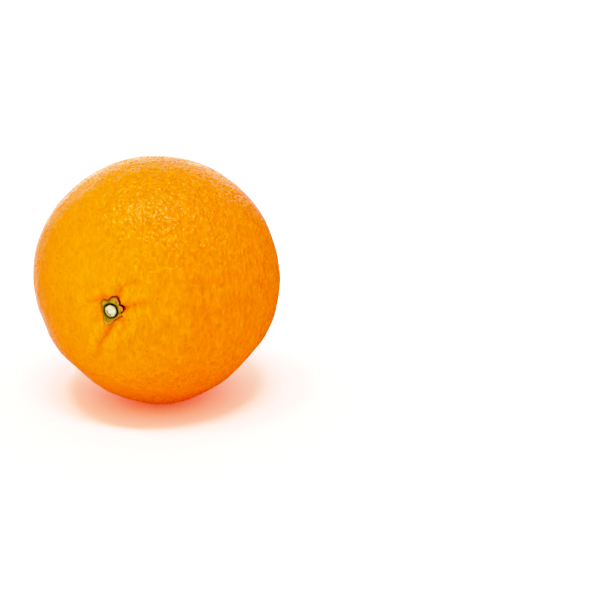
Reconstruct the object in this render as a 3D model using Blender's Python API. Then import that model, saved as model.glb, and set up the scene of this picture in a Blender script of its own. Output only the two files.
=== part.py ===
"""A whole fresh orange at life size, resting on a small flat spot of its peel.

Lengths are in metres and +Z is up. The origin is the middle of the flat spot. The stem end looks along
-Y and a little upwards, and the blossom end is opposite it.

Every piece is modelled round the stem's axis: the pole is the stem end and the origin is the middle of
the fruit. A place on the peel is named by its reach, the angle away from the stem, and its turn, the
angle round the stem, counted anticlockwise from +X by someone who looks at the stem end.
"""

from math import cos, pi, radians, sin, sqrt, tau

import bmesh
import bpy
import numpy as np
from mathutils import Matrix, Vector

MM = 0.001

# The fruit's body, and the gap that is kept between two pieces
FRUIT_RADIUS = 39.0 * MM
POLE_FLATTENING = 0.028
STEM_TILT = radians(4)
REST_SPOT_RADIUS = 6.5 * MM
PIECE_GAP = 0.3 * MM
TOUCH = 0.001 * MM
SHARP_ANGLE = radians(60)

# Soft swellings and pressed places: reach, turn, height and the angle over which each fades
BODY_FORMS = (
    (radians(71), radians(163), 0.42 * MM, radians(12)),
    (radians(60), radians(204), -0.60 * MM, radians(13)),
    (radians(61), radians(234), -0.90 * MM, radians(11)),
    (radians(74), radians(279), 0.85 * MM, radians(14)),
    (radians(92), radians(321), -1.00 * MM, radians(12)),
    (radians(118), radians(60), 0.25 * MM, radians(24)),
    (radians(125), radians(190), -0.40 * MM, radians(22)),
)
LOBE_COUNT = 10
LOBE_HEIGHT = 0.07 * MM

# The hollow at the stem, and the raised shoulder round it
STEM_HOLLOW_DEPTH = 1.5 * MM
STEM_HOLLOW_WIDTH = 7.5 * MM
SHOULDER_HEIGHT = 0.35 * MM
SHOULDER_REACH = 12.0 * MM
SHOULDER_WIDTH = 4.5 * MM

# The seat that the calyx sits in, wider to one side
SEAT_DEPTH = 1.0 * MM
SEAT_RADIUS = 4.75 * MM
SEAT_DRIFT = 0.35 * MM
SEAT_DRIFT_TURN = radians(35)
SEAT_WALL = 1.4 * MM

# Furrows run out from the calyx. Each has its depth, its width and the points of its bed, which are
# distances to the right and upwards from the stem, measured along the peel.
FURROWS = (
    (0.72 * MM, 1.15 * MM, ((2.2, 4.4), (3.2, 6.6), (4.9, 9.2), (8.8, 10.6))),
    (0.78 * MM, 1.25 * MM, ((4.6, 1.6), (6.6, 2.2), (9.4, 3.2), (13.0, 3.6))),
    (0.80 * MM, 1.30 * MM, ((0.2, -5.0), (-2.2, -8.4), (-3.7, -11.4), (-5.3, -14.6), (-8.0, -18.0))),
    (0.58 * MM, 1.05 * MM, ((-2.9, 3.4), (-5.3, 2.9), (-8.0, 2.0))),
    (0.52 * MM, 1.20 * MM, ((-2.2, 4.6), (-3.4, 7.0), (-5.6, 8.8))),
    (0.66 * MM, 1.10 * MM, ((2.4, -3.1), (4.2, -3.9), (6.2, -5.4))),
    (0.38 * MM, 1.00 * MM, ((-3.4, -3.0), (-5.8, -3.9), (-9.2, -4.6))),
    (0.42 * MM, 0.90 * MM, ((1.6, -4.6), (2.6, -7.2), (3.0, -10.4))),
)
FURROW_FADING = 0.7
# The low lips beside a furrow, as parts of its depth and of its width
LIP_HEIGHT = 0.30
LIP_DISTANCE = 2.0

# The blossom end: a shallow dish with a low rim round a small scar
BLOSSOM_DISH_DEPTH = 0.6 * MM
BLOSSOM_DISH_WIDTH = 6.0 * MM
BLOSSOM_RIM_HEIGHT = 0.22 * MM
BLOSSOM_RIM_RADIUS = 2.3 * MM
BLOSSOM_RIM_WIDTH = 0.8 * MM
BLOSSOM_SCAR_DEPTH = 0.7 * MM
BLOSSOM_SCAR_WIDTH = 1.3 * MM

# Rows of faces on the body, closer together near both poles
BODY_SEGMENTS = 68
BODY_RINGS = 60
POLE_CROWDING = 0.70

# The calyx: each sepal has its turn, how far its tip reaches, and half the angle that it spans
CALYX_HOLE_RADIUS = 2.3 * MM
CALYX_BASE_RADIUS = 3.1 * MM
CALYX_STEPS = 72
SEPALS = (
    (radians(72), 4.75 * MM, radians(36)),
    (radians(138), 4.05 * MM, radians(31)),
    (radians(254), 4.75 * MM, radians(36)),
    (radians(338), 3.80 * MM, radians(15)),
    (radians(13), 4.20 * MM, radians(22)),
)
SEPAL_POINT = 1.4
# Its section: how far out, from hole to edge, and how high above the peel
CALYX_SECTION = (
    (0.00, PIECE_GAP),
    (0.06, 0.95 * MM),
    (0.20, 1.35 * MM),
    (0.36, 1.20 * MM),
    (0.60, 1.10 * MM),
    (0.90, 0.95 * MM),
    (1.00, 0.65 * MM),
    (0.96, PIECE_GAP),
    (0.50, PIECE_GAP),
)

# The stalk's end: a short round plug, torn along one side
STUB_RADIUS = 1.9 * MM
STUB_STEPS = 32
STUB_SIDE_HEIGHT = 0.95 * MM
STUB_SECTION = (
    (0.00, PIECE_GAP),
    (0.92, PIECE_GAP),
    (1.00, 0.45 * MM),
    (1.00, STUB_SIDE_HEIGHT),
    (0.93, 1.08 * MM),
    (0.80, 1.10 * MM),
    (0.70, 1.12 * MM),
    (0.60, 1.16 * MM),
    (0.32, 1.20 * MM),
    (0.00, 1.22 * MM),
)
TEAR_RADIUS = 0.70
TEAR_WIDTH = 0.09
TEAR_DEPTH = 0.35 * MM
TEAR_TURN = radians(236)
TEAR_SPAN = radians(52)

# Plain colours, as red, green and blue light from 0 to 1, and how dull each piece is
PEEL_COLOUR = (0.95, 0.34, 0.01)
PEEL_ROUGHNESS = 0.38
CALYX_COLOUR = (0.22, 0.20, 0.02)
CALYX_ROUGHNESS = 0.65
STALK_COLOUR = (0.72, 0.70, 0.52)
STALK_ROUGHNESS = 0.75


def smooth_step(low, high, value):
    """0 below low, 1 above high, and a smooth rise between them."""
    share = np.clip((value - low) / (high - low), 0.0, 1.0)
    return share * share * (3.0 - 2.0 * share)


def bump(distance, width):
    """A rounded hill, 1 in the middle."""
    return np.exp(-((distance / width) ** 2))


def body_forms(reach, turn):
    """The swellings and pressed places of the whole fruit."""
    height = LOBE_HEIGHT * np.sin(reach) ** 2 * np.cos(LOBE_COUNT * turn)
    for form_reach, form_turn, form_height, spread in BODY_FORMS:
        nearness = np.cos(reach) * cos(form_reach)
        nearness = nearness + np.sin(reach) * sin(form_reach) * np.cos(turn - form_turn)
        height = height + form_height * np.exp((nearness - 1.0) / (1.0 - cos(spread)))
    return height


def furrow(along_x, along_y, depth, width, bed):
    """One furrow with low lips, deepest at the calyx and gone at its far end."""
    points = np.array(bed) * MM
    best = np.full(np.shape(along_x), np.inf)
    share = np.zeros(np.shape(along_x))
    runs = len(points) - 1
    for index in range(runs):
        start = points[index]
        step = points[index + 1] - start
        part = ((along_x - start[0]) * step[0] + (along_y - start[1]) * step[1]) / (step @ step)
        part = np.clip(part, 0.0, 1.0)
        away = np.hypot(along_x - start[0] - part * step[0], along_y - start[1] - part * step[1])
        nearer = away < best
        best = np.where(nearer, away, best)
        share = np.where(nearer, (index + part) / runs, share)
    strength = depth * (1.0 - share) ** FURROW_FADING
    lips = LIP_HEIGHT * bump(best - LIP_DISTANCE * width, width)
    return strength * (lips - bump(best, width))


def stem_end(reach, turn):
    """The hollow, its shoulder, the furrows and the seat of the calyx."""
    away = FRUIT_RADIUS * reach
    along_x = away * np.cos(turn)
    along_y = away * np.sin(turn)
    height = SHOULDER_HEIGHT * bump(away - SHOULDER_REACH, SHOULDER_WIDTH)
    height = height - STEM_HOLLOW_DEPTH * bump(away, STEM_HOLLOW_WIDTH)
    seat_edge = SEAT_RADIUS + SEAT_DRIFT * np.cos(turn - SEAT_DRIFT_TURN)
    outside = smooth_step(seat_edge - SEAT_WALL / 2, seat_edge + SEAT_WALL / 2, away)
    for depth, width, bed in FURROWS:
        height = height + outside * furrow(along_x, along_y, depth, width, bed)
    return height - SEAT_DEPTH * (1.0 - outside)


def blossom_end(reach):
    """The dish, rim and scar opposite the stem."""
    away = FRUIT_RADIUS * (pi - reach)
    height = BLOSSOM_RIM_HEIGHT * bump(away - BLOSSOM_RIM_RADIUS, BLOSSOM_RIM_WIDTH)
    height = height - BLOSSOM_DISH_DEPTH * bump(away, BLOSSOM_DISH_WIDTH)
    return height - BLOSSOM_SCAR_DEPTH * bump(away, BLOSSOM_SCAR_WIDTH)


def peel_radius(reach, turn):
    """How far the peel is from the middle of the fruit."""
    body = FRUIT_RADIUS * (1.0 - POLE_FLATTENING * np.cos(reach) ** 2)
    return body + body_forms(reach, turn) + stem_end(reach, turn) + blossom_end(reach)


def on_peel(reach, turn, height):
    """Points at a height above the peel, as one row each."""
    radius = peel_radius(reach, turn) + height
    out = radius * np.sin(reach)
    return np.stack((out * np.cos(turn), out * np.sin(turn), radius * np.cos(reach)), axis=1)


def calyx_edge(turn):
    """How far from the stem the calyx reaches at each turn."""
    edge = np.full(np.shape(turn), CALYX_BASE_RADIUS)
    for tip_turn, tip_radius, half_span in SEPALS:
        off = np.abs((turn - tip_turn + pi) % tau - pi) / half_span
        edge = edge + (tip_radius - CALYX_BASE_RADIUS) * np.clip(1.0 - off**SEPAL_POINT, 0.0, 1.0)
    return edge


def clear_scene():
    """Takes out whatever the scene starts with."""
    for obj in list(bpy.data.objects):
        bpy.data.objects.remove(obj, do_unlink=True)


def finish(name, colour, roughness):
    """A plain Principled BSDF material."""
    material = bpy.data.materials.new(name)
    material.use_nodes = True
    shader = material.node_tree.nodes["Principled BSDF"]
    shader.inputs["Base Color"].default_value = (*colour, 1.0)
    shader.inputs["Roughness"].default_value = roughness
    shader.inputs["Metallic"].default_value = 0.0
    return material


def coordinates(shape):
    """The places of a shape's corners, one row each."""
    return np.array([vertex.co for vertex in shape.verts])


def move_to(shape, points):
    """Puts a shape's corners at new places, in the same order."""
    for vertex, point in zip(shape.verts, points):
        vertex.co = point


def make_piece(name, shape, material, collection, axis):
    """A named object, shaded smooth, that hangs on the stem axis."""
    bmesh.ops.recalc_face_normals(shape, faces=shape.faces)
    mesh = bpy.data.meshes.new(name)
    shape.to_mesh(mesh)
    shape.free()
    mesh.materials.append(material)
    mesh.shade_smooth()
    mesh.set_sharp_from_angle(angle=SHARP_ANGLE)
    piece = bpy.data.objects.new(name, mesh)
    piece.parent = axis
    collection.objects.link(piece)
    return piece


def turned(section, steps):
    """A section of (distance from the axis, height) points, spun round the axis."""
    shape = bmesh.new()
    corners = [shape.verts.new((out, 0.0, up)) for out, up in section]
    edges = [shape.edges.new(pair) for pair in zip(corners, corners[1:])]
    if section[0][0] > 0.0:
        edges.append(shape.edges.new((corners[-1], corners[0])))
    bmesh.ops.spin(
        shape,
        geom=corners + edges,
        cent=(0.0, 0.0, 0.0),
        axis=(0.0, 0.0, 1.0),
        angle=tau,
        steps=steps,
        use_merge=True,
    )
    bmesh.ops.remove_doubles(shape, verts=shape.verts, dist=TOUCH)
    return shape


def make_fruit(collection, axis):
    """The whole peel-covered body, pressed flat where it rests."""
    shape = bmesh.new()
    bmesh.ops.create_uvsphere(shape, u_segments=BODY_SEGMENTS, v_segments=BODY_RINGS, radius=1.0)
    points = coordinates(shape)
    turn = np.arctan2(points[:, 1], points[:, 0])
    share = np.arccos(np.clip(points[:, 2], -1.0, 1.0)) / pi
    reach = pi * (share - POLE_CROWDING * np.sin(tau * share) / tau)
    move_to(shape, on_peel(reach, turn, 0.0))

    to_axis = axis.matrix_world.inverted()
    floor_point = to_axis @ Vector((0.0, 0.0, 0.0))
    floor_down = to_axis.to_3x3() @ Vector((0.0, 0.0, -1.0))
    cut = bmesh.ops.bisect_plane(
        shape,
        geom=shape.verts[:] + shape.edges[:] + shape.faces[:],
        dist=TOUCH,
        plane_co=floor_point,
        plane_no=floor_down,
        clear_outer=True,
    )
    rim = [item for item in cut["geom_cut"] if isinstance(item, bmesh.types.BMEdge)]
    bmesh.ops.contextual_create(shape, geom=rim)
    peel = finish("orange_peel", PEEL_COLOUR, PEEL_ROUGHNESS)
    return make_piece("fruit", shape, peel, collection, axis)


def make_calyx(collection, axis):
    """The five-lobed star round the stem, a ring that lies just above the peel."""
    section = [(1.0 + out, up) for out, up in CALYX_SECTION]
    shape = turned(section, CALYX_STEPS)
    points = coordinates(shape)
    turn = np.arctan2(points[:, 1], points[:, 0])
    share = np.hypot(points[:, 0], points[:, 1]) - 1.0
    away = CALYX_HOLE_RADIUS + share * (calyx_edge(turn) - CALYX_HOLE_RADIUS)
    move_to(shape, on_peel(away / FRUIT_RADIUS, turn, points[:, 2]))
    green = finish("calyx_green", CALYX_COLOUR, CALYX_ROUGHNESS)
    return make_piece("calyx", shape, green, collection, axis)


def make_stem_stub(collection, axis):
    """The end of the stalk in the middle of the calyx."""
    shape = turned(STUB_SECTION, STUB_STEPS)
    points = coordinates(shape)
    turn = np.arctan2(points[:, 1], points[:, 0])
    share = np.hypot(points[:, 0], points[:, 1])
    side = (turn - TEAR_TURN + pi) % tau - pi
    tear = bump(share - TEAR_RADIUS, TEAR_WIDTH) * bump(side, TEAR_SPAN)
    upper = points[:, 2] > STUB_SIDE_HEIGHT
    height = points[:, 2] - TEAR_DEPTH * tear * upper
    base = peel_radius(0.0, 0.0)
    out = share * STUB_RADIUS
    placed = np.stack((out * np.cos(turn), out * np.sin(turn), base + height), axis=1)
    move_to(shape, placed)
    wood = finish("stalk_wood", STALK_COLOUR, STALK_ROUGHNESS)
    return make_piece("stem_stub", shape, wood, collection, axis)


def main():
    clear_scene()
    collection = bpy.data.collections.new("orange")
    bpy.context.scene.collection.children.link(collection)
    middle_height = sqrt(FRUIT_RADIUS**2 - REST_SPOT_RADIUS**2)
    axis = bpy.data.objects.new("stem_axis", None)
    axis.matrix_world = Matrix.Translation((0.0, 0.0, middle_height)) @ Matrix.Rotation(
        pi / 2 - STEM_TILT, 4, "X"
    )
    collection.objects.link(axis)
    make_fruit(collection, axis)
    make_calyx(collection, axis)
    make_stem_stub(collection, axis)


main()
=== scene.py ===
"""Dresses a whole fresh orange: its pitted waxy peel, the green calyx and the pale end of its stalk.

Lengths are in metres and +Z is up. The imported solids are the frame, and each piece made here takes the
place of one of them at the same size. Every piece is shaped round the stem's axis, with its pole at the
stem, and is then turned into place. A place on the peel is named by its reach, the angle away from the
stem, and its turn, the angle round the stem, counted anticlockwise from +X by someone who looks at the
stem end.
"""

from math import cos, pi, radians, sin, sqrt, tau

import bmesh
import bpy
import numpy as np
from bpy.props import FloatProperty, FloatVectorProperty, IntProperty, PointerProperty
from mathutils import Euler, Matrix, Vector, noise


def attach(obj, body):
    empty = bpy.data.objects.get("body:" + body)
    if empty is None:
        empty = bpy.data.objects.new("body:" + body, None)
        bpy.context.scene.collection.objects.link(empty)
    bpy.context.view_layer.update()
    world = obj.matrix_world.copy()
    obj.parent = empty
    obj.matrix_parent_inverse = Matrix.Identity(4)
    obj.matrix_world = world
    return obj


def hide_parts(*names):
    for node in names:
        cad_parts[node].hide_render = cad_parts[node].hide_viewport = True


bl_info = {
    "name": "Fresh Orange",
    "version": (1, 0, 0),
    "blender": (4, 5, 0),
    "location": "View3D > Sidebar > Orange",
    "description": "Makes the peel, calyx and stalk end of a whole orange, and a plain stage for it",
    "category": "Object",
}

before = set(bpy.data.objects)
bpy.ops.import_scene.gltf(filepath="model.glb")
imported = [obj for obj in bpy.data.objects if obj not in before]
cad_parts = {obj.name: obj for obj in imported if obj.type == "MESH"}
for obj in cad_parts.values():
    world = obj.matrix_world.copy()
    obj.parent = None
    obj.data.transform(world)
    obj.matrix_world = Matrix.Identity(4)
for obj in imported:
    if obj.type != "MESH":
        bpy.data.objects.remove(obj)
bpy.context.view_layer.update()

MM = 0.001

# The fruit's body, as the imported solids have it
FRUIT_RADIUS = 39.0 * MM
POLE_FLATTENING = 0.028
STEM_TILT = radians(4)
REST_SPOT_RADIUS = 6.5 * MM
MIDDLE = Vector((0.0, 0.0, sqrt(FRUIT_RADIUS**2 - REST_SPOT_RADIUS**2)))
TO_STEM_AXIS = Euler((pi / 2 - STEM_TILT, 0.0, 0.0))
PIECE_GAP = 0.3 * MM
TOUCH = 0.001 * MM

# Soft swellings and pressed places: reach, turn, height and the angle over which each fades
BODY_FORMS = (
    (radians(71), radians(163), 0.42 * MM, radians(12)),
    (radians(60), radians(204), -0.60 * MM, radians(13)),
    (radians(61), radians(234), -0.90 * MM, radians(11)),
    (radians(74), radians(279), 0.85 * MM, radians(14)),
    (radians(92), radians(321), -1.00 * MM, radians(12)),
    (radians(118), radians(60), 0.25 * MM, radians(24)),
    (radians(125), radians(190), -0.40 * MM, radians(22)),
)
LOBE_COUNT = 10
LOBE_HEIGHT = 0.07 * MM

# The hollow at the stem, and the raised shoulder round it
STEM_HOLLOW_DEPTH = 1.5 * MM
STEM_HOLLOW_WIDTH = 7.5 * MM
SHOULDER_HEIGHT = 0.35 * MM
SHOULDER_REACH = 12.0 * MM
SHOULDER_WIDTH = 4.5 * MM

# The seat that the calyx sits in, wider to one side
SEAT_DEPTH = 1.0 * MM
SEAT_RADIUS = 4.75 * MM
SEAT_DRIFT = 0.35 * MM
SEAT_DRIFT_TURN = radians(35)
SEAT_WALL = 1.4 * MM

# The visible skin closes up to the calyx's outline, with a gap that is widest at the upper right
SKIN_GAP = 0.05 * MM
SKIN_GAP_MORE = 0.70 * MM
SKIN_GAP_TURN = radians(36)
SKIN_GAP_SPAN = radians(36)
SKIN_WALL = 0.60 * MM

# Round the stem and round the scar the skin's mesh is split finer
STEM_FINE_REACH = radians(12)
SCAR_FINE_REACH = radians(6)
FINE_CUTS = 2

# Furrows run out from the calyx. Each has its depth, its width and the points of its bed, which are
# distances to the right and upwards from the stem, measured along the peel.
FURROWS = (
    (0.72 * MM, 1.15 * MM, ((2.2, 4.4), (3.2, 6.6), (4.9, 9.2), (8.8, 10.6))),
    (0.78 * MM, 1.25 * MM, ((4.6, 1.6), (6.6, 2.2), (9.4, 3.2), (13.0, 3.6))),
    (0.80 * MM, 1.30 * MM, ((0.2, -5.0), (-2.2, -8.4), (-3.7, -11.4), (-5.3, -14.6), (-8.0, -18.0))),
    (0.58 * MM, 1.05 * MM, ((-2.9, 3.4), (-5.3, 2.9), (-8.0, 2.0))),
    (0.52 * MM, 1.20 * MM, ((-2.2, 4.6), (-3.4, 7.0), (-5.6, 8.8))),
    (0.66 * MM, 1.10 * MM, ((2.4, -3.1), (4.2, -3.9), (6.2, -5.4))),
    (0.38 * MM, 1.00 * MM, ((-3.4, -3.0), (-5.8, -3.9), (-9.2, -4.6))),
    (0.42 * MM, 0.90 * MM, ((1.6, -4.6), (2.6, -7.2), (3.0, -10.4))),
)
FURROW_FADING = 0.7
# The low lips beside a furrow, as parts of its depth and of its width
LIP_HEIGHT = 0.30
LIP_DISTANCE = 2.0
# The visible furrows wander a little to both sides of their beds
WANDER = 0.20 * MM
WANDER_LENGTH = 1.0 * MM

# The blossom end: a shallow dish with a low rim round a small scar
BLOSSOM_DISH_DEPTH = 0.6 * MM
BLOSSOM_DISH_WIDTH = 6.0 * MM
BLOSSOM_RIM_HEIGHT = 0.22 * MM
BLOSSOM_RIM_RADIUS = 2.3 * MM
BLOSSOM_RIM_WIDTH = 0.8 * MM
BLOSSOM_SCAR_DEPTH = 0.7 * MM
BLOSSOM_SCAR_WIDTH = 1.3 * MM

# Pits and the low pebbles between them. A pit is one corner of a many-cornered ball, cut off and
# pushed in.
PIT_SCATTER = 0.42
PITS_KEPT = 0.60
PIT_SIZES = (0.45, 1.35)
PIT_BED = 0.55
PIT_BED_DEPTH = 0.82
PEBBLE_HEIGHTS = (0.3, 1.2)
RIDGE_SPACING = 2.6 * MM
PIT_GATHERING = 0.36
PIT_GATHERING_REACH = 0.34
RIPPLE_COUNT = 14
RIPPLE_LENGTHS = (5.0 * MM, 11.0 * MM)
RIPPLE_HEIGHT = 0.018 * MM
RANDOM_SEED = 11

# Close to the calyx the skin is painted red, as shade in the hollow beside it, least at the lower left
RED_WIDTH = 2.0 * MM
RED_LEAST_TURN = radians(215)
RED_LEAST_SPAN = radians(42)

# The bounds between the skin's colours drift to and fro by this much in all
COLOUR_DRIFT = 12.0 * MM
# Where the skin's look changes, from where each change starts to where it is complete: to the right,
# upwards and towards the stem from the fruit's middle. To the right and below, the change is painted
# shade.
PAINTED_SHADE_RIGHT = (-16.0 * MM, 40.0 * MM)
PAINTED_SHADE_BELOW = (-8.0 * MM, -38.0 * MM)
YELLOW_AT_STEM = (25.0 * MM, 38.0 * MM)
UNEVEN_RIGHT = (-24.0 * MM, 10.0 * MM)

# What part of the fine relief is left under the calyx
RELIEF_UNDER_CALYX = 0.25

# Where the skin's marks fade out: the shade in the gap and under the stalk, the scar and its rim
GAP_SHADE_SPAN = 1.3 * SKIN_GAP_SPAN
HOLE_SHADE = (2.5 * MM, 2.9 * MM)
SCAR_SHADE = (0.75 * BLOSSOM_SCAR_WIDTH, 1.35 * BLOSSOM_SCAR_WIDTH)
SCAR_RIM_SHADE = 1.2 * BLOSSOM_RIM_WIDTH

# The calyx: each sepal has its turn, how far its tip reaches, and half the angle that it spans
CALYX_HOLE_RADIUS = 2.3 * MM
CALYX_BASE_RADIUS = 3.1 * MM
SEPALS = (
    (radians(72), 4.75 * MM, radians(36)),
    (radians(138), 4.05 * MM, radians(31)),
    (radians(254), 4.75 * MM, radians(36)),
    (radians(338), 3.80 * MM, radians(15)),
    (radians(13), 4.20 * MM, radians(22)),
)
SEPAL_POINT = 1.4
# Its ragged edge is made of waves: height in millimetres, how many go round, and where each starts
EDGE_WAVES = ((0.05, 17, 1.0), (0.035, 29, 4.0), (0.02, 47, 0.0))
RIB_HEIGHT = 0.14 * MM
VALLEY_DEPTH = 0.16 * MM
SEPAL_WRINKLE_HEIGHT = 0.035 * MM
COLLAR_WAVE_HEIGHT = 0.06 * MM
# Its section: how far out, from hole to edge, and how high above the peel
CALYX_SECTION = (
    (0.00, PIECE_GAP),
    (-0.01, 0.60 * MM),
    (0.05, 1.00 * MM),
    (0.12, 1.28 * MM),
    (0.20, 1.34 * MM),
    (0.30, 1.20 * MM),
    (0.45, 1.06 * MM),
    (0.62, 1.04 * MM),
    (0.80, 1.02 * MM),
    (0.93, 0.96 * MM),
    (1.00, 0.76 * MM),
    (0.985, 0.52 * MM),
    (0.93, PIECE_GAP),
    (0.70, PIECE_GAP),
    (0.35, PIECE_GAP),
)

# The stalk's end: a short round plug, torn along one side
STUB_RADIUS = 1.9 * MM
STUB_DRIFT = (-0.24 * MM, -0.18 * MM)
TEAR_RADIUS = 0.60
TEAR_WIDTH = 0.10
TEAR_TURN = radians(226)
TEAR_SPAN = radians(58)
STUB_TOP = 1.0 * MM
DOME_HEIGHT = 0.20 * MM
EDGE_ROUNDING = 0.10 * MM
FIBRE_HEIGHT = 0.03 * MM
LEDGE_DROP = 0.22 * MM

# The camera stands where it stood in the photograph, which is 600 pixels wide and high
PHOTO_WIDTH = 600
SENSOR_WIDTH = 36.0
FRUIT_PIXEL = (157.24, 278.83)
FRUIT_PIXEL_RADIUS = 122.57
CAMERA_PITCH = radians(20.7)
CAMERA_YAW = radians(17.45)

# The light overhead is a row of lamps, which hang in these directions from the fruit
LAMP_DISTANCE = 1.0
KEY_DIRECTIONS = ((-0.20, -0.17, 1.0), (0.04, -0.17, 1.0), (0.21, -0.17, 1.0))
# Windows further to the right, which only the skin's gloss mirrors
WINDOW_DIRECTIONS = ((0.28, 0.29, 0.92), (0.46, -0.45, 0.76), (0.76, 0.07, 0.65))
# Low down on this side the room's light is warm
WARM_DIRECTION = (0.35, -0.94)
# The warmth grows from the first value to the second, as a direction turns to that side and sinks
WARM_FACING = (0.0, 0.9)
WARM_HEIGHT = (1.0, 0.35)
# The wall that the skin mirrors. Each edge fades in from the first value to the second, which are the
# direction's part upwards or to the right. The right edge slants.
WALL_BOTTOM = (-0.65, -0.25)
WALL_TOP = (0.5, 0.15)
WALL_LEFT = (-0.9, -0.55)
WALL_RIGHT = (0.09, -0.17)
WALL_SLANT = -0.5
# The plain white that the camera sees behind everything
WHITE_STRENGTH = 2.0

# How the light's strength is shown: strengths are parts of WHITE_TONE, and both run from 0 to 1
WHITE_TONE = 1.6
TONES = (
    (0.014, 0.0),
    (0.09, 0.125),
    (0.31, 0.48),
    (0.50, 0.75),
    (0.65, 0.87),
    (0.80, 0.93),
    (0.90, 0.965),
    (1.0, 1.0),
)

# How far apart nodes stand in the node editor
NODE_SPACING = (220, 240)


# Shape of the peel


def smooth_step(low, high, value):
    """0 below low, 1 above high, and a smooth rise between them."""
    share = np.clip((value - low) / (high - low), 0.0, 1.0)
    return share * share * (3.0 - 2.0 * share)


def bump(distance, width):
    """A rounded hill, 1 in the middle."""
    return np.exp(-((distance / width) ** 2))


def turn_apart(turn, other):
    """The signed angle between two turns, at most half a turn."""
    return (turn - other + pi) % tau - pi


def body_forms(reach, turn):
    """The swellings and pressed places of the whole fruit."""
    height = LOBE_HEIGHT * np.sin(reach) ** 2 * np.cos(LOBE_COUNT * turn)
    for form_reach, form_turn, form_height, spread in BODY_FORMS:
        nearness = np.cos(reach) * cos(form_reach)
        nearness = nearness + np.sin(reach) * sin(form_reach) * np.cos(turn - form_turn)
        height = height + form_height * np.exp((nearness - 1.0) / (1.0 - cos(spread)))
    return height


def furrow_bed(along_x, along_y, bed):
    """How far each point is from a furrow's bed, and what share of the furrow lies behind it."""
    points = np.array(bed) * MM
    best = np.full(np.shape(along_x), np.inf)
    share = np.zeros(np.shape(along_x))
    runs = len(points) - 1
    for index in range(runs):
        start = points[index]
        step = points[index + 1] - start
        part = ((along_x - start[0]) * step[0] + (along_y - start[1]) * step[1]) / (step @ step)
        part = np.clip(part, 0.0, 1.0)
        away = np.hypot(along_x - start[0] - part * step[0], along_y - start[1] - part * step[1])
        nearer = away < best
        best = np.where(nearer, away, best)
        share = np.where(nearer, (index + part) / runs, share)
    return best, share


def outside_seat(away, turn):
    """0 on the floor of the calyx's seat and 1 beyond its wall."""
    seat_edge = SEAT_RADIUS + SEAT_DRIFT * np.cos(turn - SEAT_DRIFT_TURN)
    return smooth_step(seat_edge - SEAT_WALL / 2, seat_edge + SEAT_WALL / 2, away)


def calyx_edge(turn):
    """How far from the stem the calyx reaches at each turn, with slightly ragged edges."""
    edge = np.full(np.shape(turn), CALYX_BASE_RADIUS)
    for tip_turn, tip_radius, half_span in SEPALS:
        off = np.abs(turn_apart(turn, tip_turn)) / half_span
        edge = edge + (tip_radius - CALYX_BASE_RADIUS) * np.clip(1.0 - off**SEPAL_POINT, 0.0, 1.0)
    ragged = sum(height * np.sin(count * turn + start) for height, count, start in EDGE_WAVES)
    return edge + ragged * MM


def skin_foot(turn):
    """Where the visible skin starts to rise beside the calyx."""
    wider = SKIN_GAP_MORE * bump(turn_apart(turn, SKIN_GAP_TURN), SKIN_GAP_SPAN)
    return calyx_edge(turn) + SKIN_GAP + wider


def outside_calyx(away, turn):
    """0 under the calyx and 1 beyond the fold of skin that rises beside it."""
    foot = skin_foot(turn)
    return smooth_step(foot, foot + SKIN_WALL, away)


def furrows(reach, turn):
    """The furrows' height, and how much each point belongs to a bed, to a bed's line and to a lip."""
    away = FRUIT_RADIUS * reach
    along_x = away * np.cos(turn)
    along_y = away * np.sin(turn)
    wander_x = WANDER * np.sin(along_y / WANDER_LENGTH + 0.6)
    wander_y = WANDER * np.sin(along_x / WANDER_LENGTH + 2.0)
    height, beds, lines, lips = np.zeros((4, *np.shape(reach)))
    deepest = max(depth for depth, _, _ in FURROWS)
    for depth, width, bed in FURROWS:
        best, share = furrow_bed(along_x + wander_x, along_y + wander_y, bed)
        strength = (1.0 - share) ** FURROW_FADING
        lip = bump(best - LIP_DISTANCE * width, width)
        height = height + depth * strength * (LIP_HEIGHT * lip - bump(best, width))
        shown = strength * (depth / deepest) ** 1.5
        beds = np.maximum(beds, shown * bump(best, 0.75 * width))
        lines = np.maximum(lines, shown * bump(best, 0.30 * width))
        lips = np.maximum(lips, shown * lip)
    return height, beds, lines, lips


def stem_end(reach, turn, outside):
    """The hollow, its shoulder, and outside the calyx's seat the furrows."""
    away = FRUIT_RADIUS * reach
    height = SHOULDER_HEIGHT * bump(away - SHOULDER_REACH, SHOULDER_WIDTH)
    height = height - STEM_HOLLOW_DEPTH * bump(away, STEM_HOLLOW_WIDTH)
    height = height + outside * furrows(reach, turn)[0]
    return height - SEAT_DEPTH * (1.0 - outside)


def blossom_end(reach):
    """The dish, rim and scar opposite the stem."""
    away = FRUIT_RADIUS * (pi - reach)
    height = BLOSSOM_RIM_HEIGHT * bump(away - BLOSSOM_RIM_RADIUS, BLOSSOM_RIM_WIDTH)
    height = height - BLOSSOM_DISH_DEPTH * bump(away, BLOSSOM_DISH_WIDTH)
    return height - BLOSSOM_SCAR_DEPTH * bump(away, BLOSSOM_SCAR_WIDTH)


def peel_radius(reach, turn, outside):
    """How far the peel is from the middle of the fruit."""
    body = FRUIT_RADIUS * (1.0 - POLE_FLATTENING * np.cos(reach) ** 2)
    return body + body_forms(reach, turn) + stem_end(reach, turn, outside) + blossom_end(reach)


def on_peel(reach, turn, outside, height):
    """Points at a height above the peel, as one row each, round the stem's axis."""
    radius = peel_radius(reach, turn, outside) + height
    out = radius * np.sin(reach)
    return np.stack((out * np.cos(turn), out * np.sin(turn), radius * np.cos(reach)), axis=1)


# Mesh helpers


def coordinates(shape):
    return np.array([vertex.co for vertex in shape.verts])


def move_to(shape, points):
    for vertex, point in zip(shape.verts, points):
        vertex.co = point


def in_place(points):
    """Points round the stem's axis, turned and moved to where the fruit lies."""
    rotation = np.array(TO_STEM_AXIS.to_matrix())
    return points @ rotation.T + np.array(MIDDLE)


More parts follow.
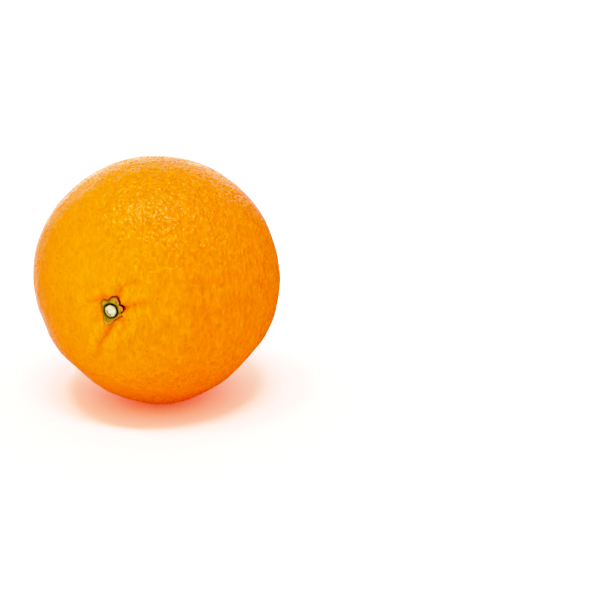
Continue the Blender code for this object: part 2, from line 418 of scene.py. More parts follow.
def smooth_loop(points, parts):
    """A closed smooth curve through the points, with this many parts between each two."""
    corners = np.array(points)
    before = np.roll(corners, 1, axis=0)
    after = np.roll(corners, -1, axis=0)
    beyond = np.roll(corners, -2, axis=0)
    loop = []
    for index in range(len(corners)):
        first = 0.5 * (after[index] - before[index])
        last = 0.5 * (beyond[index] - corners[index])
        for part in range(parts):
            t = part / parts
            point = (2 * t**3 - 3 * t**2 + 1) * corners[index]
            point = point + (t**3 - 2 * t**2 + t) * first
            point = point + (3 * t**2 - 2 * t**3) * after[index]
            loop.append(point + (t**3 - t**2) * last)
    return loop


def spun(section, steps, closed):
    """A section of (distance from the axis, height) points, spun round the axis."""
    shape = bmesh.new()
    corners = [shape.verts.new((out, 0.0, up)) for out, up in section]
    edges = [shape.edges.new(pair) for pair in zip(corners, corners[1:])]
    if closed:
        edges.append(shape.edges.new((corners[-1], corners[0])))
    bmesh.ops.spin(
        shape,
        geom=corners + edges,
        cent=(0.0, 0.0, 0.0),
        axis=(0.0, 0.0, 1.0),
        angle=tau,
        steps=steps,
        use_merge=True,
    )
    bmesh.ops.remove_doubles(shape, verts=shape.verts, dist=TOUCH)
    return shape


def add_piece(name, shape, material, node, slot, **values):
    """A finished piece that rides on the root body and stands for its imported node."""
    bmesh.ops.recalc_face_normals(shape, faces=shape.faces)
    mesh = bpy.data.meshes.new(name)
    shape.to_mesh(mesh)
    shape.free()
    for label, numbers in values.items():
        attribute = mesh.attributes.new(label, "FLOAT", "POINT")
        attribute.data.foreach_set("value", np.ascontiguousarray(numbers, dtype=np.float32))
    mesh.materials.append(material)
    mesh.shade_smooth()
    piece = bpy.data.objects.new(name, mesh)
    bpy.context.scene.collection.objects.link(piece)
    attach(piece, "root")
    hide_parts(node)
    return piece


# Node helpers


def feed(tree, socket, value):
    """Links a socket to a value that is an output, or sets it to a plain value."""
    if isinstance(value, bpy.types.NodeSocket):
        tree.links.new(value, socket)
    elif socket.type == "RGBA":
        socket.default_value = (*value, 1.0)
    else:
        socket.default_value = value


def feed_all(tree, node, inputs):
    """Feeds a node's inputs, each given by its name or by its place in the list."""
    for place, value in dict(inputs).items():
        feed(tree, node.inputs[place], value)


def add_node(tree, kind, inputs=(), **values):
    """A new node with its settings and what feeds its inputs."""
    node = tree.nodes.new(kind)
    for name, value in values.items():
        setattr(node, name, value)
    feed_all(tree, node, inputs)
    return node


def lay_out(tree):
    """Puts every node in a column to the left of those that it feeds."""
    columns = {node.name: 0 for node in tree.nodes}
    for _ in tree.nodes:
        for link in tree.links:
            before = columns[link.to_node.name] + 1
            columns[link.from_node.name] = max(columns[link.from_node.name], before)
    filled = {}
    for node in tree.nodes:
        column = columns[node.name]
        filled[column] = filled.get(column, 0) + 1
        node.location = (-column * NODE_SPACING[0], -filled[column] * NODE_SPACING[1])


def calculate(tree, operation, *values):
    """The outcome of a sum on outputs and plain numbers."""
    return add_node(tree, "ShaderNodeMath", enumerate(values), operation=operation).outputs[0]


def ranged(tree, value, low, high, to_low=0.0, to_high=1.0):
    """The value mapped smoothly from one range to another, and kept inside it."""
    inputs = {"Value": value, "From Min": low, "From Max": high, "To Min": to_low, "To Max": to_high}
    node = add_node(tree, "ShaderNodeMapRange", inputs, interpolation_type="SMOOTHSTEP")
    return node.outputs["Result"]


def mixed(tree, share, first, second):
    """One colour mixed into another."""
    inputs = {0: share, 6: first, 7: second}
    return add_node(tree, "ShaderNodeMix", inputs, data_type="RGBA").outputs[2]


def layered(tree, colour, *layers):
    """A colour with others laid over it, each with its mask and the share of it that shows."""
    for over, mask, share in layers:
        shown = mask if share == 1 else calculate(tree, "MULTIPLY", mask, share)
        colour = mixed(tree, shown, colour, over)
    return colour


def attribute(tree, name):
    return add_node(tree, "ShaderNodeAttribute", attribute_name=name).outputs["Fac"]


def stem_place(tree):
    """Object coordinates turned so that the stem's axis is Z and the fruit's middle is zero."""
    source = add_node(tree, "ShaderNodeTexCoord")
    inputs = {"Vector": source.outputs["Object"], "Location": MIDDLE, "Rotation": TO_STEM_AXIS}
    return add_node(tree, "ShaderNodeMapping", inputs, vector_type="TEXTURE").outputs["Vector"]


def group_of(name, numbers, outputs):
    """A new node group with a vector input, number inputs with their values, and its outputs."""
    group = bpy.data.node_groups.new(name, "ShaderNodeTree")
    group.interface.new_socket("Vector", in_out="INPUT", socket_type="NodeSocketVector")
    for label, value in numbers.items():
        socket = group.interface.new_socket(label, in_out="INPUT", socket_type="NodeSocketFloat")
        socket.default_value = value
    for label in outputs:
        group.interface.new_socket(label, in_out="OUTPUT", socket_type="NodeSocketFloat")
    return group, add_node(group, "NodeGroupInput").outputs


def finish_group(group, inputs):
    """Gives a node group what it puts out."""
    add_node(group, "NodeGroupOutput", inputs)
    lay_out(group)
    return group


def make_speckle_group():
    """Small round spots in some of the cells of a random pattern."""
    group, given = group_of("Speckle", {"Scale": 300.0, "Share": 0.1, "Size": 0.2}, ["Mask"])
    inputs = {"Vector": given["Vector"], "Scale": given["Scale"]}
    cells = add_node(group, "ShaderNodeTexVoronoi", inputs)
    draw = add_node(group, "ShaderNodeSeparateColor", {0: cells.outputs["Color"]})
    chosen = calculate(group, "LESS_THAN", draw.outputs[0], given["Share"])
    reach = calculate(group, "MULTIPLY", given["Size"], draw.outputs[1])
    spot = ranged(group, cells.outputs["Distance"], reach, 0.0)
    return finish_group(group, {"Mask": calculate(group, "MULTIPLY", spot, chosen)})


def make_mottle_group():
    """Soft cloudy patches, from 0 to 1."""
    group, given = group_of("Mottle", {"Scale": 60.0, "Low": 0.35, "High": 0.65}, ["Mask"])
    inputs = {"Vector": given["Vector"], "Scale": given["Scale"], "Detail": 3.0, "Roughness": 0.55}
    clouds = add_node(group, "ShaderNodeTexNoise", inputs)
    return finish_group(group, {"Mask": ranged(group, clouds.outputs[0], given["Low"], given["High"])})


def make_grain_group():
    """The height of a fine skin: little cushions with creases between them, and a finer roughness."""
    group, given = group_of("Grain", {"Scale": 900.0, "Fineness": 4.0}, ["Height"])
    inputs = {"Vector": given["Vector"], "Scale": given["Scale"], "Smoothness": 0.6}
    cushions = add_node(group, "ShaderNodeTexVoronoi", inputs, feature="SMOOTH_F1")
    finer = calculate(group, "MULTIPLY", given["Scale"], given["Fineness"])
    inputs = {"Vector": given["Vector"], "Scale": finer, "Detail": 2.0}
    dust = add_node(group, "ShaderNodeTexNoise", inputs)
    low = calculate(group, "MULTIPLY", cushions.outputs["Distance"], -1.0)
    rough = calculate(group, "MULTIPLY", dust.outputs[0], 0.25)
    return finish_group(group, {"Height": calculate(group, "ADD", low, rough)})


def make_wrinkle_group():
    """Short winding wrinkles, 1 along each, and the creases on both sides of them."""
    group, given = group_of("Wrinkle", {"Scale": 520.0, "Width": 0.2}, ["Height", "Crease"])
    inputs = {"Vector": given["Vector"], "Scale": given["Scale"], "Detail": 1.0}
    field = add_node(group, "ShaderNodeTexNoise", inputs)
    offset = calculate(group, "SUBTRACT", field.outputs[0], 0.5)
    distance = calculate(group, "ABSOLUTE", offset)
    inner = calculate(group, "MULTIPLY", given["Width"], 0.35)
    outer = calculate(group, "MULTIPLY", given["Width"], 1.8)
    rising = ranged(group, distance, inner, given["Width"])
    falling = ranged(group, distance, outer, given["Width"])
    outputs = {
        "Height": ranged(group, distance, given["Width"], 0.0),
        "Crease": calculate(group, "MULTIPLY", rising, falling),
    }
    return finish_group(group, outputs)


GROUP_MAKERS = {
    "Speckle": make_speckle_group,
    "Mottle": make_mottle_group,
    "Grain": make_grain_group,
    "Wrinkle": make_wrinkle_group,
}


def placed(tree, name, vector, **numbers):
    """A shared node group placed in a material with its own numbers. It is made when first asked for."""
    group = bpy.data.node_groups.get(name) or GROUP_MAKERS[name]()
    inputs = {"Vector": vector, **numbers}
    return add_node(tree, "ShaderNodeGroup", inputs, node_tree=group).outputs[0]


def new_material(name):
    material = bpy.data.materials.new(name)
    material.use_nodes = True
    return material, material.node_tree


def finish_material(material, finish):
    """Gives the material's shader its inputs."""
    tree = material.node_tree
    feed_all(tree, tree.nodes["Principled BSDF"], finish)
    lay_out(tree)
    return material


def bumped(tree, height, strength, distance):
    """The normal of fine relief that is too small for the mesh."""
    inputs = {"Height": height, "Strength": strength, "Distance": distance}
    return add_node(tree, "ShaderNodeBump", inputs).outputs["Normal"]


# Materials


def peel_material(settings):
    """Waxy peel: lighter on top, deeper to one side and below, deepest in pits and furrows. The deeper
    colour is painted shade, and in the pits it is partly the glands' own colour. The furrows' lips and the
    wrinkles have painted light.
    """
    material, tree = new_material("waxy_peel")
    place = stem_place(tree)
    along_x, along_y, along_stem = add_node(tree, "ShaderNodeSeparateXYZ", {0: place}).outputs
    stretch = {0: place, 1: (1.0, settings.streak_stretch, 1.0)}
    upright = add_node(tree, "ShaderNodeVectorMath", stretch, operation="MULTIPLY").outputs[0]

    clouds = placed(tree, "Mottle", place, Scale=45.0, Low=0.3, High=0.7)
    patches = placed(tree, "Mottle", place, Scale=260.0, Low=0.3, High=0.75)
    flecks = placed(tree, "Mottle", upright, Scale=780.0, Low=0.3, High=0.7)
    specks = placed(tree, "Speckle", place, Scale=210.0, Share=0.09, Size=0.16)
    worms = placed(tree, "Wrinkle", upright, Scale=480.0, Width=0.13)
    grain = placed(tree, "Grain", place, Scale=1500.0, Fineness=3.5)

    # The bounds between lighter skin and its painted shade drift to and fro
    drift = calculate(tree, "MULTIPLY_ADD", clouds, COLOUR_DRIFT, -COLOUR_DRIFT / 2)
    sideways = calculate(tree, "ADD", along_x, drift)
    side = ranged(tree, sideways, *PAINTED_SHADE_RIGHT)
    low = ranged(tree, calculate(tree, "ADD", along_y, drift), *PAINTED_SHADE_BELOW)
    near_stem = ranged(tree, along_stem, *YELLOW_AT_STEM)
    scar_edge = calculate(tree, "MULTIPLY_ADD", patches, 0.5, 0.75)
    scar = calculate(tree, "MULTIPLY", attribute(tree, "scar"), scar_edge)

    # The skin is most uneven on the right and above
    rightness = ranged(tree, sideways, *UNEVEN_RIGHT, 0.32, 1.15)
    upness = ranged(tree, low, 1.0, 0.0, 0.45, 1.0)
    unevenness = calculate(tree, "MULTIPLY", rightness, upness)
    wrinkled = calculate(tree, "MULTIPLY", worms, unevenness)
    creased = calculate(tree, "MULTIPLY", worms.node.outputs["Crease"], unevenness)

    colour = layered(
        tree,
        settings.light_skin,
        # Painted shade: deeper orange to the right and below, deepest at the lower right
        (settings.painted_shade_skin, side, 1),
        (settings.painted_shade_skin, low, 0.7),
        (settings.painted_deep_shade_skin, calculate(tree, "MULTIPLY", side, low), 0.6),
        (settings.pale_skin, patches, 0.22),
        (settings.stem_skin, near_stem, 0.6),
        # Painted light on the raised lips beside the furrows
        (settings.painted_light_skin, attribute(tree, "lip"), 0.8),
        # Painted shade: deeper red in the furrows' beds and close to the calyx
        (settings.painted_furrow_shade, attribute(tree, "furrow"), 0.62),
        # Painted shade: a dark line along the bottom of each furrow
        (settings.painted_crease_line, attribute(tree, "line"), 0.55),
        (settings.scar_rim, attribute(tree, "scar_rim"), 0.6),
        (settings.scar, scar, 1),
        (settings.gap_skin, attribute(tree, "gap"), 1),
        (settings.speck, specks, 0.6),
        # Painted sheen: the wrinkles are paler, as though their wax caught the light
        (settings.painted_light_skin, wrinkled, settings.painted_wrinkle_sheen),
    )

    relief = attribute(tree, "relief")
    pit = ranged(tree, relief, -0.05, -0.75)
    clearness = calculate(tree, "MULTIPLY_ADD", unevenness, 0.85, 0.4)
    flecked = calculate(tree, "MULTIPLY", calculate(tree, "SUBTRACT", flecks, 0.5), clearness)
    # Painted shade in the pits, partly the glands' own colour, and in the creases beside the wrinkles;
    # painted light on the ridges
    shade = calculate(tree, "MULTIPLY_ADD", pit, -settings.pit_shade, 1.0)
    for mask, amount in (
        (attribute(tree, "ridge"), settings.ridge_light),
        (flecked, settings.fleck_shade),
        (creased, -settings.crease_shade),
    ):
        shade = calculate(tree, "MULTIPLY_ADD", mask, amount, shade)
    inputs = {0: colour, "Scale": shade}
    lit = add_node(tree, "ShaderNodeVectorMath", inputs, operation="SCALE")

    fine = calculate(tree, "MULTIPLY", grain, 0.25)
    height = calculate(tree, "ADD", fine, wrinkled)
    finish = {
        "Base Color": lit.outputs[0],
        "Roughness": ranged(tree, relief, 0.3, -1.0, settings.roughness, settings.roughness + 0.12),
        "Specular IOR Level": 0.28,
        "Specular Tint": settings.gloss_tint,
        "Subsurface Weight": 0.10,
        "Subsurface Radius": (1.0, 0.25, 0.05),
        "Subsurface Scale": 2.0 * MM,
        "Normal": bumped(tree, height, 1.0, settings.wrinkle_height),
    }
    return finish_material(material, finish)


def calyx_material(settings):
    """Dry green: dark in the middle, olive on the sepals, tan where their edges have dried."""
    material, tree = new_material("dry_calyx")
    place = stem_place(tree)
    clouds = placed(tree, "Mottle", place, Scale=1300.0, Low=0.4, High=0.62)
    specks = placed(tree, "Speckle", place, Scale=1900.0, Share=0.25, Size=0.4)
    grain = placed(tree, "Grain", place, Scale=3500.0, Fineness=2.5)
    patchy = calculate(tree, "MULTIPLY_ADD", clouds, 0.5, 0.7)
    colour = layered(
        tree,
        settings.olive,
        (settings.yellow_green, clouds, 1),
        (settings.dry_tan, calculate(tree, "MULTIPLY", attribute(tree, "dry"), patchy), 1),
        (settings.inner_green, attribute(tree, "collar"), 1),
        (settings.speck, specks, 0.6),
    )
    finish = {
        "Base Color": colour,
        "Roughness": ranged(tree, clouds, 0.0, 1.0, 0.6, 0.8),
        "Specular IOR Level": 0.12,
        "Normal": bumped(tree, grain, 0.5, 0.05 * MM),
    }
    return finish_material(material, finish)


def stalk_material(settings):
    """Torn pale wood, with painted shade in its crack, and greenish at its rim."""
    material, tree = new_material("torn_stalk")
    place = stem_place(tree)
    clouds = placed(tree, "Mottle", place, Scale=1500.0, Low=0.45, High=0.6)
    grain = placed(tree, "Grain", place, Scale=5000.0, Fineness=2.0)
    colour = layered(
        tree,
        settings.wood,
        (settings.rim, ranged(tree, attribute(tree, "out"), 0.84, 1.0), 1),
        (settings.cream, attribute(tree, "ledge"), 1),
        (settings.grey_wood, clouds, 0.65),
        # Painted shade inside the crack
        (settings.crack, attribute(tree, "tear"), 1),
    )
    finish = {
        "Base Color": colour,
        "Roughness": ranged(tree, clouds, 0.0, 1.0, 0.65, 0.85),
        "Normal": bumped(tree, grain, 0.6, 0.05 * MM),
    }
    return finish_material(material, finish)


def floor_material(colour, glow):
    """Plain white with hardly visible clouds and a faint painted red glow, which reddens the shadows."""
    material, tree = new_material("white_floor")
    place = add_node(tree, "ShaderNodeTexCoord").outputs["Object"]
    clouds = placed(tree, "Mottle", place, Scale=3.0, Low=0.3, High=0.7)
    finish = {
        "Base Color": mixed(tree, clouds, colour, [part * 0.99 for part in colour]),
        "Roughness": 0.8,
        "Specular IOR Level": 0.1,
        # Painted light: a faint red glow that reddens the floor's shadows
        "Emission Color": glow,
        "Emission Strength": 1.0,
    }
    return finish_material(material, finish)


# Pieces


def scattered(points, generator):
    """The corners of an even ball, each moved sideways by a random part of their spacing."""
    spacing = sqrt(4 * pi / len(points) * 2 / sqrt(3))
    drift = generator.normal(size=points.shape)
    drift = drift - points * (drift * points).sum(axis=1, keepdims=True)
    drift = drift / np.linalg.norm(drift, axis=1, keepdims=True)
    distance = PIT_SCATTER * spacing * np.sqrt(generator.random((len(points), 1)))
    moved = points + drift * distance
    return moved / np.linalg.norm(moved, axis=1, keepdims=True)


def spread_corners(shape, generator):
    """Makes the ball's corners uneven: some are taken out, and the rest moved a little."""
    corners = shape.verts[:]
    taken = [corner for corner in corners if generator.random() > PITS_KEPT]
    bmesh.ops.dissolve_verts(shape, verts=taken)
    bmesh.ops.triangulate(shape, faces=shape.faces, quad_method="BEAUTY", ngon_method="BEAUTY")
    bmesh.ops.smooth_vert(
        shape, verts=shape.verts, factor=0.5, use_axis_x=True, use_axis_y=True, use_axis_z=True
    )
    points = coordinates(shape)
    move_to(shape, points / np.linalg.norm(points, axis=1, keepdims=True))


def cut_pits(shape, pit_share, generator):
    """Cuts every corner off the ball. Each cut is a pit of random size, and what is left is a pebble.

    The vertices' relief is 0 on a pit's rim, down to -1 in the middle of the broadest pits and above 0
    on a pebble.
    """
    relief = shape.verts.layers.float.new("relief")
    breadth = shape.faces.layers.float.new("breadth")
    cut = bmesh.ops.bevel(
        shape,
        geom=shape.verts[:],
        offset=pit_share * 100,
        offset_type="PERCENT",
        affect="VERTICES",
        segments=1,
        profile=0.5,
        material=-1,
    )
    rims = cut["faces"]
    for rim in rims:
        middle = rim.calc_center_median()
        size = generator.uniform(*PIT_SIZES)
        rim[breadth] = size / PIT_SIZES[1]
        for corner in rim.verts:
            corner.co = middle.lerp(corner.co, size)
    known = set(rims)
    pebbles = [face for face in shape.faces if face not in known]
    for top in bmesh.ops.poke(shape, faces=pebbles)["verts"]:
        top[relief] = generator.uniform(*PEBBLE_HEIGHTS)
    beds = bmesh.ops.extrude_discrete_faces(shape, faces=rims)["faces"]
    for bed in beds:
        middle = bed.calc_center_median()
        for corner in bed.verts:
            corner.co = middle.lerp(corner.co, PIT_BED)
            corner[relief] = -PIT_BED_DEPTH * bed[breadth]
    for bottom in bmesh.ops.poke(shape, faces=beds)["verts"]:
        bottom[relief] = -bottom.link_faces[0][breadth]
    shape.faces.layers.float.remove(breadth)


def refine_at_ends(shape):
    """Splits the edges round the stem, where the skin folds up to the calyx, and round the scar."""
    for side, reach in ((1.0, STEM_FINE_REACH), (-1.0, SCAR_FINE_REACH)):
        low = cos(reach)
        near = []
        for edge in shape.edges:
            if all(side * corner.co.normalized().z > low for corner in edge.verts):
                near.append(edge)
        bmesh.ops.subdivide_edges(shape, edges=near, cuts=FINE_CUTS, use_grid_fill=True)


def reddened(away, turn):
    """How much red shade is painted on the skin close to the calyx: least at the lower left, none far out.
    """
    plain_side = bump(turn_apart(turn, RED_LEAST_TURN), RED_LEAST_SPAN)
    closeness = bump(away - skin_foot(turn) - 0.4 * MM, RED_WIDTH)
    return 0.75 * closeness * (1.0 - 0.85 * plain_side)


def ripples(points, generator):
    """A faint unevenness of the whole skin, made of waves in random directions."""
    height = np.zeros(len(points))
    for _ in range(RIPPLE_COUNT):
        direction = generator.normal(size=3)
        direction = direction / np.linalg.norm(direction)
        length = generator.uniform(*RIPPLE_LENGTHS)
        start = generator.uniform(0.0, tau)
        height = height + np.sin(points @ direction * (tau / length) + start)
    return RIPPLE_HEIGHT * height


def ridges(points):
    """Low winding ridges over the whole skin, from 0 between them to 1 along them."""
    worms = [abs(noise.noise(Vector(point) / RIDGE_SPACING)) for point in points]
    return bump(np.array(worms), 0.18)


def make_peel(settings):
    """The whole outer skin with its pits, furrows and the flat spot that it rests on."""
    generator = np.random.default_rng(RANDOM_SEED)
    shape = bmesh.new()
    bmesh.ops.create_icosphere(shape, subdivisions=settings.pit_fineness, radius=1.0)
    move_to(shape, scattered(coordinates(shape), generator))
    spread_corners(shape, generator)
    cut_pits(shape, settings.pit_share, generator)
    refine_at_ends(shape)
    layer = shape.verts.layers.float["relief"]
    relief = np.array([vertex[layer] for vertex in shape.verts])

    points = coordinates(shape)
    points = points / np.linalg.norm(points, axis=1, keepdims=True)
    turn = np.arctan2(points[:, 1], points[:, 0])
    reach = np.arccos(np.clip(points[:, 2], -1.0, 1.0))
    closer = 1.0 - PIT_GATHERING * bump(reach, PIT_GATHERING_REACH)
    reach = reach * closer
    size = np.where(relief < 0.0, settings.pit_depth, settings.pebble_height)
    away = FRUIT_RADIUS * reach
    outside = outside_calyx(away, turn)
    fading = RELIEF_UNDER_CALYX + (1.0 - RELIEF_UNDER_CALYX) * outside
    height = relief * size * closer * fading
    height = height + ripples(points * FRUIT_RADIUS, generator) * fading
    ridge = ridges(points * FRUIT_RADIUS)
    _, beds, lines, lips = furrows(reach, turn)
    from_scar = FRUIT_RADIUS * (pi - reach)
    side_gap = np.sqrt(1.0 - outside) * bump(turn_apart(turn, SKIN_GAP_TURN), GAP_SHADE_SPAN)
    height = height + settings.ridge_height * ridge * fading
    placed_points = in_place(on_peel(reach, turn, outside, height))
    placed_points[:, 2] = np.maximum(placed_points[:, 2], 0.0)
    move_to(shape, placed_points)
    return add_piece(
        "orange_peel",
        shape,
        peel_material(settings),
        "fruit",
        "peel",
        furrow=np.maximum(beds, reddened(away, turn)),
        line=lines,
        lip=lips * (1.0 - beds),
        gap=np.maximum(side_gap, 1.0 - smooth_step(*HOLE_SHADE, away)),
        scar=1.0 - smooth_step(*SCAR_SHADE, from_scar),
        scar_rim=bump(from_scar - BLOSSOM_RIM_RADIUS, SCAR_RIM_SHADE),
        ridge=ridge,
    )


def sepal_middle(turn):
    """1 along the middle of each sepal, fading to its sides."""
    middle = np.zeros(np.shape(turn))
    for tip_turn, _, half_span in SEPALS:
        middle = np.maximum(middle, bump(turn_apart(turn, tip_turn), 0.35 * half_span))
    return middle


def make_calyx(settings):
    """The five-lobed star round the stem, with a raised collar, ribs and wrinkles."""
    loop = smooth_loop(CALYX_SECTION, settings.section_parts)
    section = [(1.0 + out, up) for out, up in loop]
    shape = spun(section, settings.steps, closed=True)
    points = coordinates(shape)
    turn = np.arctan2(points[:, 1], points[:, 0])
    out = np.hypot(points[:, 0], points[:, 1]) - 1.0
    height = points[:, 2]
    top = smooth_step(0.55 * MM, 0.95 * MM, height)
    along = np.clip(out, 0.0, 1.0)
    ribs = RIB_HEIGHT * sepal_middle(turn) * np.sin(pi * along)
    hollow = -VALLEY_DEPTH * (1.0 - sepal_middle(turn)) * smooth_step(0.25, 0.8, along)
    wrinkles = SEPAL_WRINKLE_HEIGHT * np.sin(31 * turn + 5 * along) * np.sin(pi * along)
    collar = COLLAR_WAVE_HEIGHT * np.sin(9 * turn + 2.0) * bump(along - 0.17, 0.10)
    height = height + top * (ribs + hollow + wrinkles + collar)
    away = CALYX_HOLE_RADIUS + out * (calyx_edge(turn) - CALYX_HOLE_RADIUS)
    move_to(shape, in_place(on_peel(away / FRUIT_RADIUS, turn, outside_seat(away, turn), height)))
    right = smooth_step(-0.3, 0.7, np.cos(turn - radians(350)))
    lower_tip = bump(turn_apart(turn, radians(252)), radians(16)) * smooth_step(0.7, 0.95, along)
    return add_piece(
        "green_calyx",
        shape,
        calyx_material(settings),
        "calyx",
        "calyx_green",
        collar=1.0 - smooth_step(0.30 * MM, 0.62 * MM, away - CALYX_HOLE_RADIUS),
        dry=np.maximum(smooth_step(0.55, 0.95, along) * (0.12 + 0.88 * right), 0.9 * lower_tip),
    )


def stub_section(rings):
    """The plug's outline from the middle of its base, up its side and in to the middle of its top."""
    base = [(0.0, PIECE_GAP), (0.5, PIECE_GAP), (0.92, PIECE_GAP), (1.0, 0.42 * MM), (1.0, 0.75 * MM)]
    top = [(1.0 - index / rings, STUB_TOP) for index in range(rings + 1)]
    return base + top


def make_stalk_end(settings):
    """The end of the stalk: a round plug whose top is torn along one side."""
    shape = spun(stub_section(settings.rings), settings.steps, closed=False)
    points = coordinates(shape)
    turn = np.arctan2(points[:, 1], points[:, 0])
    out = np.hypot(points[:, 0], points[:, 1])
    beside = bump(turn_apart(turn, TEAR_TURN), TEAR_SPAN)
    tear = bump(out - TEAR_RADIUS, TEAR_WIDTH) * smooth_step(0.2, 0.7, beside)
    ledge = smooth_step(TEAR_RADIUS, TEAR_RADIUS + 0.08, out) * smooth_step(0.25, 0.6, beside)
    rounding = EDGE_ROUNDING * smooth_step(0.8, 1.0, out)
    doming = DOME_HEIGHT * (1.0 - out**2)
    fibres = FIBRE_HEIGHT * np.sin(11 * turn + 9 * out) * np.sin(pi * np.clip(out * 1.3, 0.0, 1.0))
    lumps = FIBRE_HEIGHT * np.sin(points[:, 0] * 9.0 + 1.0) * np.sin(points[:, 1] * 8.0)
    on_top = points[:, 2] > 0.9 * STUB_TOP
    height = points[:, 2] + on_top * (doming - rounding + fibres + lumps)
    height = height - on_top * (settings.tear_depth * tear + LEDGE_DROP * ledge)
    edge = 0.97 + 0.04 * beside + 0.02 * np.sin(7 * turn + 2.0) + 0.01 * np.sin(13 * turn)
    radius = out * STUB_RADIUS * edge
    base = peel_radius(0.0, 0.0, 0.0)
    along_x = radius * np.cos(turn) + STUB_DRIFT[0]
    along_y = radius * np.sin(turn) + STUB_DRIFT[1]
    placed_points = np.stack((along_x, along_y, base + height), axis=1)
    move_to(shape, in_place(placed_points))
    return add_piece(
        "stalk_end",
        shape,
        stalk_material(settings),
        "stem_stub",
        "stalk_wood",
        out=out,
        tear=tear * on_top,
        ledge=ledge * on_top,
    )


# Stage


def make_floor(settings):
    """A white floor with a faint painted red glow, which reddens the shadows round the fruit. The waxy
    skin doesn't mirror it.
    """
    shape = bmesh.new()
    bmesh.ops.create_grid(shape, x_segments=8, y_segments=8, size=settings.floor_size / 2)
    mesh = bpy.data.meshes.new("floor")
    shape.to_mesh(mesh)
    shape.free()
    mesh.materials.append(floor_material(settings.floor_colour, settings.painted_floor_glow))
    floor = bpy.data.objects.new("floor", mesh)
    floor.visible_glossy = False
    bpy.context.scene.collection.objects.link(floor)


def make_world(settings):
    """An even white room. The waxy skin mirrors its walls, and the camera sees plain white."""
    world = bpy.data.worlds.new("white_room")
    bpy.context.scene.world = world
    world.use_nodes = True
    tree = world.node_tree
    soft = tree.nodes["Background"]
    sky = add_node(tree, "ShaderNodeTexCoord").outputs["Generated"]
    along_x, along_y, upwards = add_node(tree, "ShaderNodeSeparateXYZ", {0: sky}).outputs

    # Low down in front the room is warm
    sideways = calculate(tree, "MULTIPLY", along_x, WARM_DIRECTION[0])
    frontal = calculate(tree, "MULTIPLY_ADD", along_y, WARM_DIRECTION[1], sideways)
    facing = ranged(tree, frontal, *WARM_FACING)
    near_floor = ranged(tree, upwards, *WARM_HEIGHT)
    warmth = calculate(tree, "MULTIPLY", facing, near_floor)
    warmed = mixed(tree, warmth, settings.room_light, settings.warm_light)
    feed_all(tree, soft, {"Color": warmed, "Strength": settings.room_strength})

    # The skin mirrors a low band of wall, which fades out to the left and to the right
    rising = ranged(tree, upwards, *WALL_BOTTOM)
    falling = ranged(tree, upwards, *WALL_TOP)
    left_end = ranged(tree, along_x, *WALL_LEFT)
    slanting = calculate(tree, "MULTIPLY_ADD", upwards, WALL_SLANT, along_x)
    right_end = ranged(tree, slanting, *WALL_RIGHT)
    band = calculate(tree, "MULTIPLY", rising, falling)
    ends = calculate(tree, "MULTIPLY", left_end, right_end)
    wall = calculate(tree, "MULTIPLY", band, ends)
    wall = calculate(tree, "MULTIPLY", wall, settings.mirrored_strength)
    inputs = {"Color": settings.mirrored_light, "Strength": wall}
    mirrored = add_node(tree, "ShaderNodeBackground", inputs)

    white = add_node(tree, "ShaderNodeBackground", {"Strength": WHITE_STRENGTH})
    path = add_node(tree, "ShaderNodeLightPath")
    inputs = {0: path.outputs["Is Glossy Ray"], 1: soft.outputs[0], 2: mirrored.outputs[0]}
    by_gloss = add_node(tree, "ShaderNodeMixShader", inputs)
    inputs = {0: path.outputs["Is Camera Ray"], 1: by_gloss.outputs[0], 2: white.outputs[0]}
    chosen = add_node(tree, "ShaderNodeMixShader", inputs)
    feed(tree, tree.nodes["World Output"].inputs[0], chosen.outputs[0])
    lay_out(tree)


def hang_lamps(name, directions, strength, settings):
    """Lamps far off in these directions, which share the strength. Their light falls evenly."""
    lamp = bpy.data.lights.new(name, "SUN")
    lamp.energy = strength / len(directions)
    lamp.color = settings.key_colour
    lamp.angle = settings.key_angle
    lamps = []
    for direction in directions:
        away = Vector(direction).normalized()
        hung = bpy.data.objects.new(name, lamp)
        hung.location = MIDDLE + LAMP_DISTANCE * away
        hung.rotation_euler = away.to_track_quat("Z", "Y").to_euler()
        bpy.context.scene.collection.objects.link(hung)
        lamps.append(hung)
    return lamps


def make_lamps(settings):
    """The light overhead, wide from side to side, and the windows that the wax mirrors."""
    hang_lamps("key_light", KEY_DIRECTIONS, settings.key_strength, settings)
    for window in hang_lamps("window", WINDOW_DIRECTIONS, settings.window_strength, settings):
        window.visible_diffuse = False


def set_tone_curve(view):
    """The bright end rolls off gently, as in the photograph, and the darkest tones go to black."""
    view.view_transform = "Standard"
    view.use_curve_mapping = True
    curves = view.curve_mapping
    curves.white_level = (WHITE_TONE, WHITE_TONE, WHITE_TONE)
    curve = curves.curves[3]
    for point, (tone, shown) in zip((curve.points[0], curve.points[-1]), (TONES[0], TONES[-1])):
        point.location = (tone, shown)
    for tone, shown in TONES[1:-1]:
        curve.points.new(tone, shown)
    curves.update()


